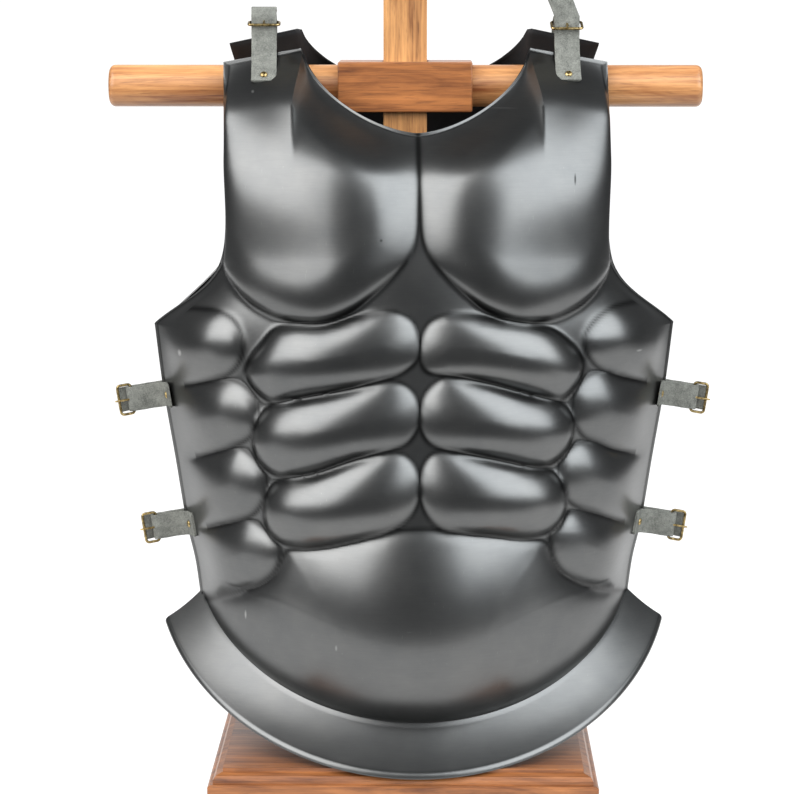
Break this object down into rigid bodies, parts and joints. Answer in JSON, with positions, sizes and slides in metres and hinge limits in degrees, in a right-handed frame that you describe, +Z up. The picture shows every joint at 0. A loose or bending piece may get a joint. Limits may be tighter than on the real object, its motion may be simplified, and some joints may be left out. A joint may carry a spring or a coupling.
{
  "type": "steel breastplate on a wooden stand",
  "caption": "Blackened steel muscle breastplate with a back plate, leather shoulder and side straps and brass buckles, hung on a plain wooden T stand.",
  "frame": {"origin": "middle of the underside of the stand's square base", "axes": "+Z up along the stand's post, +X along the crossbar towards the wearer's left, -Y towards the front of the breastplate"},
  "size_m": [0.4868, 0.3076, 0.677],
  "materials": {
    "steel": "blackened, satin",
    "leather": "matt, worn",
    "brass": "satin, tarnished",
    "wood": "varnished"
  },
  "bodies": {
    "root": {"stand_base": "wood", "stand_post": "wood", "stand_crossbar": "wood", "breastplate": "steel", "backplate": "steel", "right_shoulder_front_leather": "leather", "right_shoulder_back_leather": "leather", "right_shoulder_buckle": "brass", "right_shoulder_tongue": "brass", "right_shoulder_front_rivet": "brass", "right_shoulder_back_rivet": "brass", "right_upper_front_leather": "leather", "right_upper_back_leather": "leather", "right_upper_buckle": "brass", "right_upper_tongue": "brass", "right_upper_front_rivet": "brass", "right_upper_back_rivet": "brass", "right_lower_front_leather": "leather", "right_lower_back_leather": "leather", "right_lower_buckle": "brass", "right_lower_tongue": "brass", "right_lower_front_rivet": "brass", "right_lower_back_rivet": "brass", "left_shoulder_front_leather": "leather", "left_shoulder_back_leather": "leather", "left_shoulder_buckle": "brass", "left_shoulder_tongue": "brass", "left_shoulder_front_rivet": "brass", "left_shoulder_back_rivet": "brass", "left_upper_front_leather": "leather", "left_upper_back_leather": "leather", "left_upper_buckle": "brass", "left_upper_tongue": "brass", "left_upper_front_rivet": "brass", "left_upper_back_rivet": "brass", "left_lower_front_leather": "leather", "left_lower_back_leather": "leather", "left_lower_buckle": "brass", "left_lower_tongue": "brass", "left_lower_front_rivet": "brass", "left_lower_back_rivet": "brass"}
  },
  "joints": []
}
